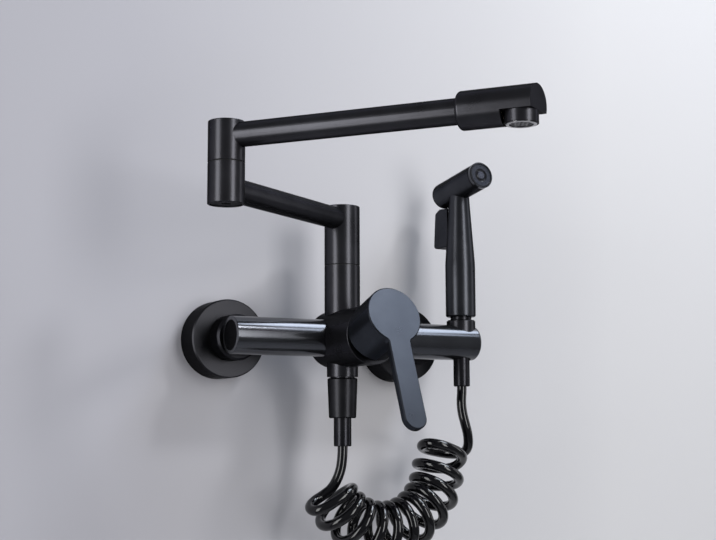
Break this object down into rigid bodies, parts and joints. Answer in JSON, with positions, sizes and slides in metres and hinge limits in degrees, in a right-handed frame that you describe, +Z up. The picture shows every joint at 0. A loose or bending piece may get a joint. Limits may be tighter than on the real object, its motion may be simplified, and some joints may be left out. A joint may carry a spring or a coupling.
{
  "type": "wall mounted pot filler tap with hand sprayer",
  "caption": "Black wall mixer tap with a folding double-jointed spout over a single lever, and a trigger hand sprayer docked on its bar with a curly hose.",
  "frame": {"origin": "on the wall, midway between the two inlet threads", "axes": "+Y into the wall, +X to the right seen from the room, +Z up"},
  "size_m": [0.2529, 0.3134, 0.2932],
  "materials": {
    "black_metal": "satin black powder coat on brass",
    "bar_metal": "smooth black coat, a little glossier than the body",
    "handle_metal": "satin black coat with a soft blue-grey sheen",
    "hose_fitting": "semi-gloss black coat",
    "dome_metal": "satin black",
    "raw_brass": "machined brass",
    "steel": "plain stainless steel",
    "grip_black": "satin black coat",
    "spray_rubber": "soft dark grey rubber",
    "liner_plastic": "matte black plastic",
    "inner_plastic": "off-white moulded plastic",
    "ceramic": "polished white ceramic",
    "seal_rubber": "black nitrile rubber",
    "aerator_metal": "dark chrome",
    "aerator_plastic": "grey moulded plastic",
    "hose_plastic": "glossy black polyurethane"
  },
  "bodies": {
    "root": {"wall_unions": "raw_brass", "wall_flanges": "bar_metal", "flange_seals": "seal_rubber", "union_nuts": "black_metal", "filter_washers": "seal_rubber", "bar_left": "bar_metal", "bar_end_plug": "bar_metal", "bar_right": "bar_metal", "mixer_body": "black_metal", "column_sleeve": "black_metal", "column_spigot": "raw_brass", "column_rings": "seal_rubber", "cartridge_shell": "inner_plastic", "cartridge_seals": "seal_rubber", "fixed_disc": "ceramic", "lock_nut": "raw_brass", "dome": "dome_metal", "hose_outlet": "black_metal", "check_valve": "inner_plastic", "hose_nut": "black_metal", "hose_ferrule": "hose_fitting", "hose_tail_body": "hose_plastic", "hose_coil": "hose_plastic", "hose_tail_sprayer": "hose_plastic", "holder_ring": "black_metal", "holder_liner": "liner_plastic"},
    "lower_arm": {"column_head": "black_metal", "column_screw": "steel", "swivel_washers": "liner_plastic", "arm_low": "black_metal", "elbow_low": "black_metal", "elbow_plug": "black_metal"},
    "upper_arm": {"elbow_high": "black_metal", "elbow_spigot": "raw_brass", "elbow_clip": "steel", "spout_rings": "seal_rubber", "arm_high": "black_metal", "tip_spigot": "raw_brass"},
    "spout_end": {"nozzle": "black_metal", "nozzle_screw": "steel", "aerator_seal": "seal_rubber", "aerator_shell": "aerator_metal", "aerator_insert": "aerator_plastic"},
    "cartridge_rotor": {"rotor": "inner_plastic", "stem_pin": "steel"},
    "handle_lever": {"handle": "handle_metal", "stem": "steel", "handle_screw": "steel"},
    "ceramic_slide": {"slide_disc": "ceramic"},
    "sprayer": {"sprayer_tail": "hose_fitting", "sprayer_grip": "grip_black", "sprayer_head": "grip_black", "face_ring": "grip_black", "spray_plate": "spray_rubber", "trigger_pin": "steel", "valve_body": "inner_plastic", "hose_connector": "hose_fitting"},
    "sprayer_trigger": {"trigger": "grip_black"},
    "sprayer_plunger": {"plunger": "steel", "valve_spring": "steel"}
  },
  "joints": [
    {"name": "column_swivel", "type": "hinge", "parent": "root", "child": "lower_arm", "pos_m": [0, -0.0553, 0.0876], "axis": [0, 0, 1], "range_deg": [-31, 110]},
    {"name": "elbow_swivel", "type": "hinge", "parent": "lower_arm", "child": "upper_arm", "pos_m": [-0.12546, -0.13113, 0.1038], "axis": [0, 0, 1], "range_deg": [-96.4, 83.6]},
    {"name": "nozzle_swivel", "type": "hinge", "parent": "upper_arm", "child": "spout_end", "pos_m": [-0.12546, -0.13113, 0.1214], "axis": [0.6101, -0.7923, 0], "continuous": true},
    {"name": "handle_turn", "type": "hinge", "parent": "root", "child": "cartridge_rotor", "pos_m": [0, -0.0985, 0], "axis": [0, -1, 0], "range_deg": [-45, 45]},
    {"name": "handle_lift", "type": "hinge", "parent": "cartridge_rotor", "child": "handle_lever", "pos_m": [0, -0.0985, 0], "axis": [1, 0, 0], "range_deg": [0, 20.8]},
    {"name": "disc_slide", "type": "slide", "parent": "cartridge_rotor", "child": "ceramic_slide", "axis": [0, 0, 1], "range_m": [0, 0.0049]},
    {"name": "sprayer_lift", "type": "slide", "parent": "root", "child": "sprayer", "axis": [0, 0, 1], "range_m": [0, 0.055], "deforming": ["hose_tail_sprayer"]},
    {"name": "trigger_press", "type": "hinge", "parent": "sprayer", "child": "sprayer_trigger", "pos_m": [0.1039, -0.0487, 0.1028], "axis": [-1, 0, 0], "range_deg": [0, 8], "stiffness_Nm_per_rad": 0.6, "springref_deg": -5.73},
    {"name": "plunger_slide", "type": "slide", "parent": "sprayer", "child": "sprayer_plunger", "axis": [0, -1, 0], "range_m": [0, 0.0026]}
  ],
  "couplings": [
    {"joint": "disc_slide", "follows": "handle_lift", "m_per_rad": 0.01336},
    {"joint": "plunger_slide", "follows": "trigger_press", "m_per_rad": 0.016945}
  ]
}
